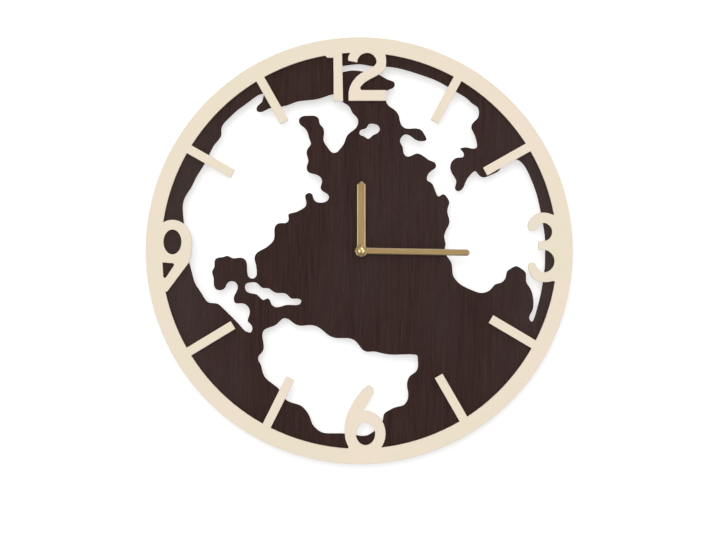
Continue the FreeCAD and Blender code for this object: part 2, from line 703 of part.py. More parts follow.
def build_front_case():
    """Moulded case with the battery bay below, open to the wall."""
    body = block(case_left, case_right, -case_below, case_above, 0, case_depth)
    upright = []
    for edge in body.Edges:
        low, high = edge.Vertexes[0].Point, edge.Vertexes[-1].Point
        if abs(low.x - high.x) < side_gap and abs(low.z - high.z) < side_gap:
            upright.append(edge)
    body = body.makeFillet(case_corner, upright)
    works = block(inner_left, inner_right, partition_top, inner_top, -cut_overrun, case_floor)
    bay = block(inner_left, inner_right, bay_low, bay_top, -cut_overrun, case_floor)
    body = body.cut([works, bay])
    posts = [disc(post_radius, plate_front, case_floor + press_gap, x, z) for x, z in post_places]
    body = joined(body, *posts)
    notch_half = finger_notch_width / 2
    finger = block(
        -notch_half, notch_half, -case_below - cut_overrun, bay_low + cut_overrun,
        -cut_overrun, finger_notch_depth,
    )
    slot = contact_sheet + 2 * side_gap
    slots = []
    for left in (inner_left, inner_right - slot):
        slots.append(block(
            left, left + slot, bay_top - cut_overrun, partition_top + cut_overrun,
            board_front_face - side_gap, leg_front + side_gap,
        ))
    holes = [
        disc(bush_radius + press_gap, case_floor - cut_overrun, case_depth + cut_overrun),
        pivot_hole(case_floor - cut_overrun, case_floor + pivot_depth, motion_x, motion_z),
    ]
    return body.cut([finger] + slots + holes)


def build_rear_cover():
    """Flat cover of the works, with the knob's well and the blind bearing holes."""
    cover = block(
        inner_left + side_gap, inner_right - side_gap, partition_top + side_gap,
        inner_top - side_gap, 0, cover_thickness,
    )
    well_radius = knob_radius + 2 * side_gap
    well_front = knob_recess + knob_thickness + side_gap
    well = disc(well_radius + knob_well_wall, 0, well_front + knob_well_floor, knob_x, knob_z)
    cover = joined(cover, well)
    cuts = [
        disc(well_radius, -cut_overrun, well_front, knob_x, knob_z),
        disc(knob_shaft_radius + running_gap, 0, well_front + knob_well_floor, knob_x, knob_z),
    ]
    for x, z in ((0, 0), (third_x, third_z), (fifth_x, fifth_z), (rotor_x, rotor_z)):
        cuts.append(pivot_hole(cover_inner - pivot_depth, cover_inner + cut_overrun, x, z))
    return cover.cut(cuts)


def build_train_plate():
    """Middle plate on the case posts, with pillars that carry the rear cover and the circuit."""
    plate = block(
        inner_left + side_gap, inner_right - side_gap, partition_top + contact_sheet + 2 * side_gap,
        inner_top - side_gap, plate_back, plate_front,
    )
    pillars = [disc(post_radius, cover_inner, plate_back + press_gap, x, z) for x, z in post_places]
    for x in (board_left + board_post_radius, board_right - board_post_radius):
        z = board_top - board_post_radius
        pillars.append(disc(board_post_radius, board_front_face, plate_back + press_gap, x, z))
    core_depth = stator_front + stator_thickness
    for z in (coil_low + coil_foot / 4, coil_high - coil_foot / 4):
        pillars.append(disc(core_width / 2, core_depth, plate_back + press_gap, coil_x, z))
    plate = joined(plate, *pillars)
    cuts = [disc(minute_stem_radius + running_gap, plate_back, plate_front)]
    for x, z in ((third_x, third_z), (fifth_x, fifth_z), (rotor_x, rotor_z), (motion_x, motion_z)):
        cuts.append(pivot_hole(plate_back - cut_overrun, plate_front + cut_overrun, x, z))
    cuts.append(disc(knob_shaft_radius + running_gap, plate_back, plate_front, knob_x, knob_z))
    return plate.cut(cuts)


def build_threaded_bush():
    """Brass bush through the case, the hanger, the gasket and the board."""
    outside = joined(
        disc(bush_radius, case_floor, bush_front),
        disc(bush_collar_radius, case_depth, collar_front),
    )
    return outside.cut(disc(hour_tube_radius + running_gap, case_floor, bush_front))


def build_fixing_nut():
    """Hexagon nut on the board's face."""
    corner = nut_across_flats / 2 / math.cos(math.pi / nut_sides)
    outline = polygon_wire(regular_points(corner, nut_sides, 0))
    nut = slab(outline, washer_front, nut_front)
    return nut.cut(disc(bush_radius + press_gap, washer_front, nut_front))


def build_hanger():
    """Sheet steel bent back over the case, with the hole for the wall nail."""
    half = hanger_width / 2
    shelf_top = case_above + hanger_sheet
    ear_top = case_above + hanger_rise
    leg = block(-half, half, -hanger_drop, shelf_top, case_depth, collar_front)
    shelf = block(-half, half, case_above, shelf_top, hanger_sheet, collar_front)
    ear = block(-half, half, case_above, ear_top, hanger_sheet, 2 * hanger_sheet)
    ear = ear.common(disc(ear_top - case_above, hanger_sheet, 2 * hanger_sheet, 0, case_above))
    bracket = joined(leg, shelf, ear)
    eye_z = case_above + hanger_hole_height
    return bracket.cut([
        disc(bush_collar_radius + side_gap, case_depth, collar_front),
        disc(hanger_hole_radius, 0, 3 * hanger_sheet, 0, eye_z),
    ])


def build_minute_arbor():
    """Arbor of the minute hand with its pinion; its stem carries the friction clutch."""
    pinion = toothed(cannon_teeth, cannon_module, cannon_phase, cannon_back, cannon_front, 0, 0)
    stem = disc(minute_stem_radius, centre_back - level_gap, cannon_back + pinion_overlap)
    barrel = disc(minute_tube_radius, cannon_back, minute_tube_front)
    thread = disc(
        minute_tube_radius - cap_thread_step, minute_tube_front,
        minute_tube_front + cap_thread_length - level_gap / 2,
    )
    arbor = joined(pinion, stem, barrel, thread)
    return arbor.cut(pivot_hole(centre_back - level_gap, centre_front, 0, 0))


def build_hour_wheel():
    """Wheel of the hour hand with its long tube."""
    wheel = toothed(
        hour_wheel_teeth, hour_module, hour_phase, hour_wheel_back, hour_wheel_front, 0, 0
    )
    barrel = disc(hour_tube_radius, hour_wheel_back, hour_tube_front)
    bore = disc(minute_tube_radius + running_gap, hour_wheel_back, hour_tube_front)
    return joined(wheel, barrel).cut(bore)


def build_going_wheel(x, z, wheel, pinion, front):
    """Wheel and pinion on one arbor that turns in the rear cover."""
    arbor = disc(pivot_radius, cover_inner - pivot_depth + press_gap, front, x, z)
    return joined(wheel, pinion, arbor)


def build_setting_knob():
    """Fluted knob, flush with the wall side, with its pinion."""
    front = knob_recess + knob_thickness
    knob = disc(knob_radius, knob_recess, front, knob_x, knob_z)
    flutes = []
    for number in range(knob_flutes):
        x, z = place_from(knob_x, knob_z, knob_radius, math.tau * number / knob_flutes)
        flutes.append(disc(knob_flute_radius, 0, front + cut_overrun, x, z))
    knob = knob.cut(flutes)
    shaft = disc(knob_shaft_radius, front - press_gap, cannon_front, knob_x, knob_z)
    pinion = toothed(
        knob_pinion_teeth, cannon_module, knob_phase, cannon_back, cannon_front, knob_x, knob_z
    )
    return joined(knob, shaft, pinion)


def build_stator():
    """Steel plate round the rotor, with two arms to the coil's core."""
    hole = magnet_radius + stator_air_gap
    spine_left = rotor_x - stator_reach
    spine_right = rotor_x + stator_reach
    left = coil_x - core_width / 2 - stator_margin
    spine = block(spine_left, spine_right, coil_low, coil_high, stator_back, stator_front)
    arms = []
    for low in (coil_low, coil_high - stator_arm):
        arms.append(block(left, spine_right, low, low + stator_arm, stator_back, stator_front))
    return joined(spine, *arms).cut(disc(hole, stator_back, stator_front, rotor_x, rotor_z))


def build_coil_core():
    """Soft iron strip under the stator's arms."""
    half = core_width / 2
    return block(
        coil_x - half, coil_x + half, coil_low, coil_high, stator_front,
        stator_front + stator_thickness,
    )


def upright_tube(outer, inner_half, inner_deep, low, high):
    """Round spool along Z with a square-cornered hole for the core."""
    depth = stator_front + stator_thickness / 2
    spool = Part.makeCylinder(outer, high - low, Vector(coil_x, -depth, low), Vector(0, 0, 1))
    hole = block(
        coil_x - inner_half, coil_x + inner_half, low, high, depth - inner_deep, depth + inner_deep
    )
    return spool.cut(hole)


def build_coil_bobbin():
    """Moulded spool on the core."""
    half = core_width / 2 + press_gap
    deep = stator_thickness / 2 + press_gap
    barrel_radius = math.hypot(half, deep) + bobbin_wall
    spool = upright_tube(barrel_radius, half, deep, bobbin_low, bobbin_high)
    flanges = []
    for low in (bobbin_low, bobbin_high - bobbin_flange):
        flanges.append(upright_tube(bobbin_flange_radius, half, deep, low, low + bobbin_flange))
    return joined(spool, *flanges)


def build_coil_winding():
    """Fine copper wire, wound on the spool."""
    depth = stator_front + stator_thickness / 2
    half = core_width / 2 + press_gap
    deep = stator_thickness / 2 + press_gap
    inner = math.hypot(half, deep) + bobbin_wall + press_gap
    low = bobbin_low + bobbin_flange + press_gap
    high = bobbin_high - bobbin_flange - press_gap
    foot = Vector(coil_x, -depth, low)
    outside = Part.makeCylinder(winding_radius, high - low, foot, Vector(0, 0, 1))
    return outside.cut(Part.makeCylinder(inner, high - low, foot, Vector(0, 0, 1)))


def build_circuit_board():
    """Small board on its two posts, notched round the cover's pillar."""
    sheet = block(
        board_left, board_right, board_low, board_top, board_back_face, board_front_face
    )
    x, z = post_places[3]
    notch = disc(post_radius + side_gap, board_back_face, board_front_face, x, z)
    return sheet.cut(notch)


def build_chip():
    """Drop of black resin over the chip."""
    x = board_left + (board_right - board_left) / 3
    z = (board_low + board_top) / 2
    radius = (chip_radius ** 2 + chip_height ** 2) / (2 * chip_height)
    ball = Part.makeSphere(radius, Vector(x, -(board_front_face + chip_height - radius), z))
    column = disc(chip_radius, board_front_face, board_front_face + chip_height, x, z)
    return ball.common(column)


def build_crystal():
    """Round can of the quartz crystal, lying on the circuit board."""
    x = board_left + (board_right - board_left) / 3 + chip_radius + 2 * side_gap
    z = board_low + 2 * crystal_radius + side_gap
    centre = Vector(x, -(board_front_face + crystal_radius), z)
    return Part.makeCylinder(crystal_radius, crystal_length, centre, Vector(1, 0, 0))


def build_contact(side, foot_near, foot_far):
    """Sprung leaf at one end of the battery, with a leg that reaches the circuit board."""
    wall = inner_right - side_gap / 2
    inner = wall - contact_sheet
    half = contact_leaf_width / 2
    leaf = block(inner, wall, battery_z - half, battery_z + half, battery_depth - half,
                 battery_depth + half)
    strut = block(inner, wall, battery_z, partition_top + contact_sheet, board_front_face, leg_front)
    root = block(inner, wall, battery_z, battery_z + half, board_front_face, battery_depth)
    pieces = [leaf, strut, root]
    if side < 0:
        boss_length = inner - battery_half_length - contact_gap
        pieces.append(block(
            -foot_far, wall, partition_top, partition_top + contact_sheet, board_front_face,
            leg_front,
        ))
        pieces.append(block(
            -foot_far, -foot_near, partition_top, board_low + contact_leg_width,
            board_front_face, board_front_face + contact_sheet,
        ))
    else:
        boss_length = inner - battery_half_length - battery_nub_length - contact_gap
        pieces.append(block(
            foot_near, wall, partition_top, partition_top + contact_sheet + contact_leg_width,
            board_front_face, board_front_face + contact_sheet,
        ))
    boss = Part.makeCylinder(
        contact_boss_radius, boss_length + press_gap,
        Vector(inner + press_gap, -battery_depth, battery_z), Vector(-1, 0, 0),
    )
    contact = joined(boss, *pieces)
    if side < 0:
        contact = contact.mirror(Vector(0, 0, 0), Vector(1, 0, 0))
    return contact


def lying_bar(radius, left, right):
    """Round bar along X on the battery's axis."""
    foot = Vector(left, -battery_depth, battery_z)
    return Part.makeCylinder(radius, right - left, foot, Vector(1, 0, 0))


def build_battery_can():
    """Steel can with its positive nub."""
    radius = battery_radius - battery_sleeve - press_gap
    can = lying_bar(radius, -battery_half_length, battery_half_length)
    nub = lying_bar(
        battery_nub_radius, battery_half_length - cut_overrun,
        battery_half_length + battery_nub_length,
    )
    return joined(can, nub)


def build_battery_sleeve():
    """Printed film round the can."""
    inset = battery_sleeve + contact_sheet
    left = -battery_half_length + inset
    right = battery_half_length - inset
    outside = lying_bar(battery_radius, left, right)
    return outside.cut(lying_bar(battery_radius - battery_sleeve, left, right))


# Values that the motor, the battery and the teeth share
coil_low = rotor_z - stator_height / 2 + coil_rise
coil_high = coil_low + stator_height
bobbin_low = coil_low + stator_arm + side_gap
bobbin_high = coil_high - stator_arm - side_gap
cannon_phase = motion_direction
minute_wheel_phase = meshing_phase(
    motion_direction, cannon_teeth, cannon_phase, minute_wheel_teeth
)
knob_phase = meshing_phase(
    knob_direction, minute_wheel_teeth, minute_wheel_phase, knob_pinion_teeth
)
hour_phase = motion_direction
minute_pinion_phase = meshing_phase(
    motion_direction, hour_wheel_teeth, hour_phase, minute_pinion_teeth
)
centre_phase = third_direction
third_pinion_phase = meshing_phase(
    third_direction, centre_wheel_teeth, centre_phase, third_pinion_teeth
)
fourth_pinion_phase = third_direction
third_wheel_phase = meshing_phase(
    third_direction, fourth_pinion_teeth, fourth_pinion_phase, third_wheel_teeth
)
fourth_wheel_phase = fifth_direction
fifth_pinion_phase = meshing_phase(
    fifth_direction, fourth_wheel_teeth, fourth_wheel_phase, fifth_pinion_teeth
)
fifth_wheel_phase = rotor_direction
rotor_pinion_phase = meshing_phase(
    rotor_direction, fifth_wheel_teeth, fifth_wheel_phase, rotor_pinion_teeth
)

nodes["map_disc"] = build_map_disc()
nodes["dial_ring"] = build_dial_ring()
nodes["gasket"] = tube(gasket_radius, bush_radius + side_gap, collar_front, board_back)
nodes["hanger_bracket"] = build_hanger()
nodes["threaded_bush"] = build_threaded_bush()
nodes["fixing_washer"] = tube(washer_radius, bush_radius + press_gap, board_front, washer_front)
nodes["fixing_nut"] = build_fixing_nut()
nodes["front_case"] = build_front_case()
nodes["rear_cover"] = build_rear_cover()
nodes["train_plate"] = build_train_plate()

nodes["hour_hand"] = build_hand(
    hour_hand_length, hour_hand_width, hour_hand_bevel,
    (hour_hand_tip_height, hour_hand_tip_half, hour_hand_tip_bow),
    hour_tube_radius + hand_bush_nose_wall + 2 * press_gap, hour_hand_back,
)
nodes["hour_hand_bush"] = build_hand_bush(
    hour_tube_radius + press_gap, hour_bush_back, hour_hand_back
)
nodes["hour_wheel"] = build_hour_wheel()
nodes["minute_hand"] = turned_clockwise(
    build_hand(
        minute_hand_length, minute_hand_width, minute_hand_bevel,
        (minute_hand_tip_height, minute_hand_tip_half, minute_hand_tip_bow),
        minute_tube_radius + hand_bush_nose_wall + 2 * press_gap, minute_hand_back,
    ),
    minute_hand_angle,
)
nodes["minute_hand_bush"] = build_hand_bush(
    minute_tube_radius + press_gap, minute_bush_back, minute_hand_back
)
nodes["hand_cap_nut"] = build_cap_nut()
nodes["minute_arbor"] = build_minute_arbor()
nodes["clutch_spring"] = tube(
    clutch_radius, minute_stem_radius + press_gap, centre_front + running_gap,
    centre_front + running_gap + clutch_thickness,
)

minute_wheel = toothed(
    minute_wheel_teeth, cannon_module, minute_wheel_phase, minute_wheel_back,
    minute_wheel_front, motion_x, motion_z,
)
minute_pinion = toothed(
    minute_pinion_teeth, hour_module, minute_pinion_phase, minute_wheel_front - press_gap,
    hour_wheel_front, motion_x, motion_z,
)
minute_staff = disc(
    pivot_radius, plate_back + side_gap, case_floor + pivot_depth - side_gap, motion_x, motion_z
)
nodes["minute_wheel"] = joined(minute_wheel, minute_pinion, minute_staff)
nodes["setting_knob"] = build_setting_knob()

centre_wheel = toothed(
    centre_wheel_teeth, centre_module, centre_phase, centre_back, centre_front, 0, 0
)
nodes["centre_wheel"] = centre_wheel.cut(
    disc(minute_stem_radius + running_gap, centre_back, centre_front)
)
nodes["third_wheel"] = build_going_wheel(
    third_x, third_z,
    toothed(third_wheel_teeth, third_module, third_wheel_phase, third_back, third_front,
            third_x, third_z),
    toothed(third_pinion_teeth, centre_module, third_pinion_phase, third_front - press_gap,
            centre_front + pinion_overlap, third_x, third_z),
    plate_front - side_gap,
)
nodes["fourth_wheel"] = build_going_wheel(
    0, 0,
    toothed(fourth_wheel_teeth, fourth_module, fourth_wheel_phase, fourth_back, fourth_front, 0, 0),
    toothed(fourth_pinion_teeth, third_module, fourth_pinion_phase, fourth_front - press_gap,
            third_front + side_gap, 0, 0),
    centre_front - side_gap,
)
nodes["fifth_wheel"] = build_going_wheel(
    fifth_x, fifth_z,
    toothed(fifth_wheel_teeth, fifth_module, fifth_wheel_phase, fifth_back, fifth_front,
            fifth_x, fifth_z),
    toothed(fifth_pinion_teeth, fourth_module, fifth_pinion_phase, fifth_front - press_gap,
            fourth_front + side_gap, fifth_x, fifth_z),
    plate_front - side_gap,
)
rotor_pinion = toothed(
    rotor_pinion_teeth, fifth_module, rotor_pinion_phase, magnet_front,
    fifth_front + side_gap, rotor_x, rotor_z,
)
rotor_staff = disc(
    pivot_radius, cover_inner - pivot_depth + press_gap, plate_front - side_gap, rotor_x, rotor_z
)
nodes["rotor_spindle"] = joined(rotor_pinion, rotor_staff)
nodes["rotor_magnet"] = tube(
    magnet_radius, pivot_radius + press_gap, magnet_back, magnet_front, rotor_x, rotor_z
)
nodes["stator"] = build_stator()
nodes["coil_core"] = build_coil_core()
nodes["coil_bobbin"] = build_coil_bobbin()
nodes["coil_winding"] = build_coil_winding()
nodes["circuit_board"] = build_circuit_board()
nodes["chip"] = build_chip()
nodes["quartz_crystal"] = build_crystal()
nodes["positive_contact"] = build_contact(1, post_x + post_radius + side_gap, 0)
nodes["negative_contact"] = build_contact(-1, board_left, board_left + 2 * contact_leg_width)
nodes["battery_can"] = build_battery_can()
nodes["battery_sleeve"] = build_battery_sleeve()

os.makedirs("parts", exist_ok=True)
for name, shape in nodes.items():
    solids = shape.Solids
    whole = solids[0] if len(solids) == 1 else Part.makeCompound(solids)
    whole.exportStep("parts/" + name + ".step")
    print(name, len(solids), whole.isValid(), round(whole.Volume, 2))
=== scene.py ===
import math

import bmesh
import bpy
from mathutils import Matrix, Vector


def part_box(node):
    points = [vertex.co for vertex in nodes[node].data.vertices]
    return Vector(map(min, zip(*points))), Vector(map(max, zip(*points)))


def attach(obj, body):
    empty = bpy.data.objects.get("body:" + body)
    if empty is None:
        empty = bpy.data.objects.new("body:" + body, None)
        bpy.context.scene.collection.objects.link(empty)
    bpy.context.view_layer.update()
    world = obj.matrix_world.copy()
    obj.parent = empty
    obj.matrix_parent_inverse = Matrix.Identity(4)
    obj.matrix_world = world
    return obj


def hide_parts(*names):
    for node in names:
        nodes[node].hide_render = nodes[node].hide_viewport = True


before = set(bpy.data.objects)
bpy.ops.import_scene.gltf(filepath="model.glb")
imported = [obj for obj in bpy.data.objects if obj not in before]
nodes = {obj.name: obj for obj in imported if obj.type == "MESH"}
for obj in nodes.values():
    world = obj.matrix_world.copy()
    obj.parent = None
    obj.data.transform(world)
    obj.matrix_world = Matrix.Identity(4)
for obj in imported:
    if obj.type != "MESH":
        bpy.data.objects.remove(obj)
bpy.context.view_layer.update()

# The board is a 4 mm sheet with a dark, upright-grained veneer on both faces. The seas
# are left standing and the lands are cut out by laser, so the cut edges are darker than
# the faces. The hands' works hang on it from a hole in its middle.


class Tone:
    """Socket of a finish; a sum or product of tones adds its Math nodes."""

    def __init__(self, tree, socket):
        self.tree = tree
        self.socket = socket

    def node(self, kind, settings, inputs, output=0):
        """Adds a node, with its settings first, and gives one of its outputs."""
        made = self.tree.nodes.new(kind)
        for name, value in settings.items():
            setattr(made, name, value)
        for name, value in inputs.items():
            if isinstance(value, Tone):
                self.tree.links.new(value.socket, made.inputs[name])
            else:
                made.inputs[name].default_value = value
        return Tone(self.tree, made.outputs[output])

    def math(self, operation, *values):
        """Math node on the values given, or on this alone."""
        inputs = dict(enumerate(values or (self,)))
        return self.node("ShaderNodeMath", {"operation": operation}, inputs)

    def vector(self, operation, other, output=0):
        """Vector Math node on this and another vector."""
        settings = {"operation": operation}
        return self.node("ShaderNodeVectorMath", settings, {0: self, 1: other}, output)

    def part(self, axis):
        """One coordinate of a vector, and how far along it is."""
        return self.node("ShaderNodeSeparateXYZ", {}, {0: self}, axis)

    def noise(self, stretch, detail=2.0, roughness=0.5):
        """Noise whose cells have one size in metres for all axes, or one for each."""
        sizes = stretch if isinstance(stretch, tuple) else (stretch, stretch, stretch)
        cells = self.vector("DIVIDE", sizes)
        inputs = {"Vector": cells, "Scale": 1.0, "Detail": detail, "Roughness": roughness}
        return self.node("ShaderNodeTexNoise", {}, inputs)

    def spread(self, low, high):
        """Brings low to 0 and high to 1, and stops there."""
        settings = {"clamp": True}
        inputs = {"Value": self, "From Min": low, "From Max": high}
        return self.node("ShaderNodeMapRange", settings, inputs)

    def between(self, first, second):
        """Colour that goes from the first to the second as this goes from 0 to 1."""
        settings = {"data_type": "RGBA"}
        return self.node("ShaderNodeMix", settings, {0: self, 6: first, 7: second}, 2)

    def bump(self, distance):
        """Normal of a surface that rises with this, by distance in metres."""
        inputs = {"Height": self, "Distance": distance, "Strength": 1.0}
        return self.node("ShaderNodeBump", {}, inputs)

    def __add__(self, other):
        return self.math("ADD", self, other)

    def __radd__(self, other):
        return self.math("ADD", other, self)

    def __sub__(self, other):
        return self.math("SUBTRACT", self, other)

    def __rsub__(self, other):
        return self.math("SUBTRACT", other, self)

    def __mul__(self, other):
        return self.math("MULTIPLY", self, other)

    def __rmul__(self, other):
        return self.math("MULTIPLY", other, self)

    def __truediv__(self, other):
        return self.math("DIVIDE", self, other)

    def __abs__(self):
        return self.math("ABSOLUTE")


def colour(red, green, blue):
    """Linear colour from the 0 to 255 values seen on a screen."""
    shares = [value / 255 for value in (red, green, blue)]
    bent = [s / 12.92 if s <= 0.04045 else ((s + 0.055) / 1.055) ** 2.4 for s in shares]
    return (*bent, 1.0)


def new_finish(name):
    """Material, and the place on the object as a tone."""
    finish = bpy.data.materials.new(name)
    finish.use_nodes = True
    tree = finish.node_tree
    return finish, Tone(tree, tree.nodes.new("ShaderNodeTexCoord").outputs["Object"])


def side_mask(place, low, high):
    """1 where a sheet's surface turns away from its flat faces, and 0 on them."""
    normal = Tone(place.tree, place.socket.node.outputs["Normal"])
    return 1 - abs(normal.part(1)).spread(low, high)


def set_surface(finish, **sockets):
    """Sets or links sockets of the finish's shader."""
    shader = finish.node_tree.nodes["Principled BSDF"]
    for name, value in sockets.items():
        socket = shader.inputs[name.replace("_", " ")]
        if isinstance(value, Tone):
            finish.node_tree.links.new(value.socket, socket)
        else:
            socket.default_value = value


def dress(name, finish):
    """Gives a solid its finish."""
    solid = nodes[name]
    solid.data.materials.clear()
    solid.data.materials.append(finish)
    return solid


weld_reach = 2e-6


def soften(piece, width, angle=35.0, merge_flats=True):
    """Rounds the sharp edges of a solid without moving its faces."""
    weld = piece.modifiers.new("weld", "WELD")
    weld.merge_threshold = weld_reach
    if merge_flats:
        flat = piece.modifiers.new("flat", "DECIMATE")
        flat.decimate_type = "DISSOLVE"
        flat.angle_limit = math.radians(0.5)
    edge = piece.modifiers.new("edge", "BEVEL")
    edge.limit_method = "ANGLE"
    edge.angle_limit = math.radians(angle)
    edge.width = width
    edge.segments = 2
    edge.use_clamp_overlap = False
    edge.harden_normals = True


veneer, place = new_finish("dark veneer")
broad = place.noise((0.055, 0.05, 0.16), 2.0)
band = place.noise((0.0042, 0.02, 0.17), 3.0, 0.55)
streak = place.noise((0.00095, 0.004, 0.026), 4.0, 0.6)
pore = place.noise((0.00042, 0.002, 0.0065), 2.0, 0.5)
pore = pore.spread(0.60, 0.72)
tint = (0.70 * streak + 0.30 * band).spread(0.32, 0.68)
wood = tint.between(colour(32, 16, 14), colour(61, 41, 36))
# Painted reflection: the veneer turns greyer towards both sides, standing in for a soft
# sheen; broad random greying is mixed in.
greyer_tone_and_painted_sheen = (0.35 * broad.spread(0.45, 0.75) + 0.55 * abs(place.part(0)).spread(0.09, 0.17))
wood = greyer_tone_and_painted_sheen.between(wood, colour(64, 53, 51))
wood = (0.55 * pore).between(wood, colour(20, 11, 9))
edge_mask = side_mask(place, 0.55, 0.85)
soot = place.noise(0.0006, 3.0)
char = soot.between(colour(24, 16, 13), colour(46, 33, 27))
set_surface(
    veneer,
    Base_Color=edge_mask.between(wood, char),
    Roughness=0.52 + 0.16 * streak + 0.12 * edge_mask,
    Normal=(0.6 * streak - 0.7 * pore).bump(0.00006),
    Specular_IOR_Level=0.2,
)
soften(dress("map_disc", veneer), 0.00018)

# The ring, its hour bars and its figures are one 4 mm sheet of fibreboard, cut by laser,
# sprayed cream and rubbed down, so its edges are slightly round. It is glued on the
# board.

cream, place = new_finish("cream lacquer")
cloud = place.noise(0.05, 3.0)
fleck = place.noise(0.0011, 3.0, 0.65)
peel = place.noise(0.0004, 2.0)
paint = cloud.spread(0.35, 0.65).between(colour(243, 228, 208), colour(239, 228, 205))
paint = (0.10 * fleck.spread(0.45, 0.8)).between(paint, colour(214, 200, 178))
edge_mask = side_mask(place, 0.55, 0.85)
fibre = place.noise((0.0009, 0.0003, 0.0009), 3.0)
side = fibre.between(colour(226, 211, 187), colour(238, 228, 211))
set_surface(
    cream,
    Base_Color=edge_mask.between(paint, side),
    Roughness=0.46 + 0.10 * fleck + 0.12 * edge_mask,
    Normal=(0.5 * peel + 0.5 * fleck).bump(0.00002),
    Specular_IOR_Level=0.4,
)
soften(dress("dial_ring", cream), 0.00030)

# The hanger is a strip of zinc-plated sheet steel. It is held between the case and the
# board by the bush, and is bent back over the case to an ear that hangs on a nail. The
# zinc shows faint grains, and the punched edges are a little brighter.

zinc, place = new_finish("zinc plate")
grain = place.noise(0.0013, 1.0)
rolled = place.noise((0.00025, 0.006, 0.006), 3.0)
set_surface(
    zinc,
    Base_Color=grain.spread(0.3, 0.7).between(colour(188, 190, 192), colour(198, 200, 203)),
    Metallic=1.0,
    Roughness=0.34 + 0.06 * grain + 0.12 * rolled,
    Normal=(0.8 * rolled + 0.2 * grain).bump(0.00001),
)
soften(dress("hanger_bracket", zinc), 0.00022)

# The gasket is a ring of soft black rubber between the hanger and the board. It is
# punched from sheet, so its faces are dull and its rim a little rough.

rubber, place = new_finish("gasket rubber")
dust = place.noise(0.004, 4.0, 0.7)
pimple = place.noise(0.0003, 2.0)
set_surface(
    rubber,
    Base_Color=dust.spread(0.45, 0.75).between(colour(24, 24, 25), colour(44, 43, 42)),
    Roughness=0.75 + 0.15 * dust,
    Normal=pimple.bump(0.00003),
)
soften(dress("gasket", rubber), 0.00010)

# The case and its rear cover are moulded in black plastic with a fine spark-eroded
# texture. The case takes the works above and the battery below, and two catches on each
# side wall hold the cover.


def moulded(name, dark, light, depth):
    """Moulded plastic with the fine texture of its tool, this deep."""
    finish, place = new_finish(name)
    tool = place.noise(0.00016, 3.0, 0.7)
    flow = place.noise(0.012, 3.0)
    set_surface(
        finish,
        Base_Color=(0.7 * flow + 0.3 * tool).spread(0.35, 0.65).between(dark, light),
        Roughness=0.44 + 0.20 * tool + 0.05 * flow,
        Normal=tool.bump(depth),
    )
    return finish


def new_piece(name, mesh, finish, body):
    """Object from a mesh under construction, on its body."""
    data = bpy.data.meshes.new(name)
    bmesh.ops.recalc_face_normals(mesh, faces=mesh.faces)
    mesh.to_mesh(data)
    mesh.free()
    piece = bpy.data.objects.new(name, data)
    bpy.context.scene.collection.objects.link(piece)
    data.materials.append(finish)
    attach(piece, body)
    return piece


case_black = moulded("case black", colour(23, 23, 25), colour(36, 36, 38), 0.00003)
soften(dress("front_case", case_black), 0.00012, merge_flats=False)

case_low, case_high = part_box("front_case")
catch_heights = (0.010, -0.0095)
catch_rise = 0.00035
catch_half = 0.0032
catch_taper = 0.0004
root_depths = (-0.0012, -0.0058)
top_depths = (-0.0015, -0.0046)
catches = bmesh.new()
for side, wall in ((-1, case_low[0]), (1, case_high[0])):
    for height in catch_heights:
        loops = []
        for x, half, (back, front) in (
            (wall - side * catch_rise, catch_half, root_depths),
            (wall + side * catch_rise, catch_half - catch_taper, top_depths),
        ):
            loops.append([
                catches.verts.new((x, back, height - half)),
                catches.verts.new((x, back, height + half)),
                catches.verts.new((x, front, height + half)),
                catches.verts.new((x, front, height - half)),
            ])
        for corner in range(4):
            following = (corner + 1) % 4
            catches.faces.new((
                loops[0][corner], loops[0][following], loops[1][following], loops[1][corner],
            ))
        catches.faces.new(loops[1])
        catches.faces.new(loops[0])
catches = new_piece("case_catches", catches, case_black, "clock")
soften(catches, 0.00012)

# The rear cover is a thin plate of the same black plastic, moulded to snap flush into the
# case's back. Cut into it are a plus and a minus for the battery, a thin border, a ring
# round the knob's well, and the small circles where the mould's ejector pins stood.

cover_black = moulded("cover black", colour(24, 24, 26), colour(38, 38, 40), 0.00003)
cover_low, cover_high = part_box("rear_cover")
knob_low, knob_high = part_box("setting_knob")
knob_x = (knob_low[0] + knob_high[0]) / 2
knob_z = (knob_low[2] + knob_high[2]) / 2
groove_depth = 0.00025
groove_half = 0.00014
border_inset = 0.0014
rim_radius = 0.0062
pin_radius = 0.0011
pin_places = ((-0.0190, 0.0150), (0.0195, 0.0160), (-0.0190, -0.0100), (0.0080, -0.0090))
mark_inset = 0.0038
mark_height = cover_low[2] + mark_inset
mark_place = 0.0150
mark_half = 0.0013
mark_thick = 0.00028


def bar_outline(x, z, half_x, half_z):
    """Corners of an upright rectangle about a place on the back."""
    return [
        (x - half_x, z - half_z), (x + half_x, z - half_z),
        (x + half_x, z + half_z), (x - half_x, z + half_z),
    ]


def round_outline(x, z, radius, steps=48):
    """Points on a circle about a place on the back."""
    turns = [math.tau * number / steps for number in range(steps)]
    return [(x + radius * math.cos(turn), z + radius * math.sin(turn)) for turn in turns]


def plus_outline(x, z, reach, thick):
    """Corners of a plus with equal arms."""
    quarter = [(thick, -reach), (thick, -thick), (reach, -thick)]
    points = []
    for _ in range(4):
        points += [(x + a, z + b) for a, b in quarter]
        quarter = [(-b, a) for a, b in quarter]
    return points


def add_band(mesh, loops):
    """Joins loops of points with as many points each into a closed band."""
    for first, second in zip(loops, loops[1:] + loops[:1]):
        for number, point in enumerate(first):
            following = (number + 1) % len(first)
            mesh.faces.new((point, first[following], second[following], second[number]))


def add_frame(mesh, outer, inner, back, front):
    """Flat frame between two outlines, from one depth to another."""
    loops = []
    for outline, depth in ((outer, back), (outer, front), (inner, front), (inner, back)):
        loops.append([mesh.verts.new((x, depth, z)) for x, z in outline])
    add_band(mesh, loops)


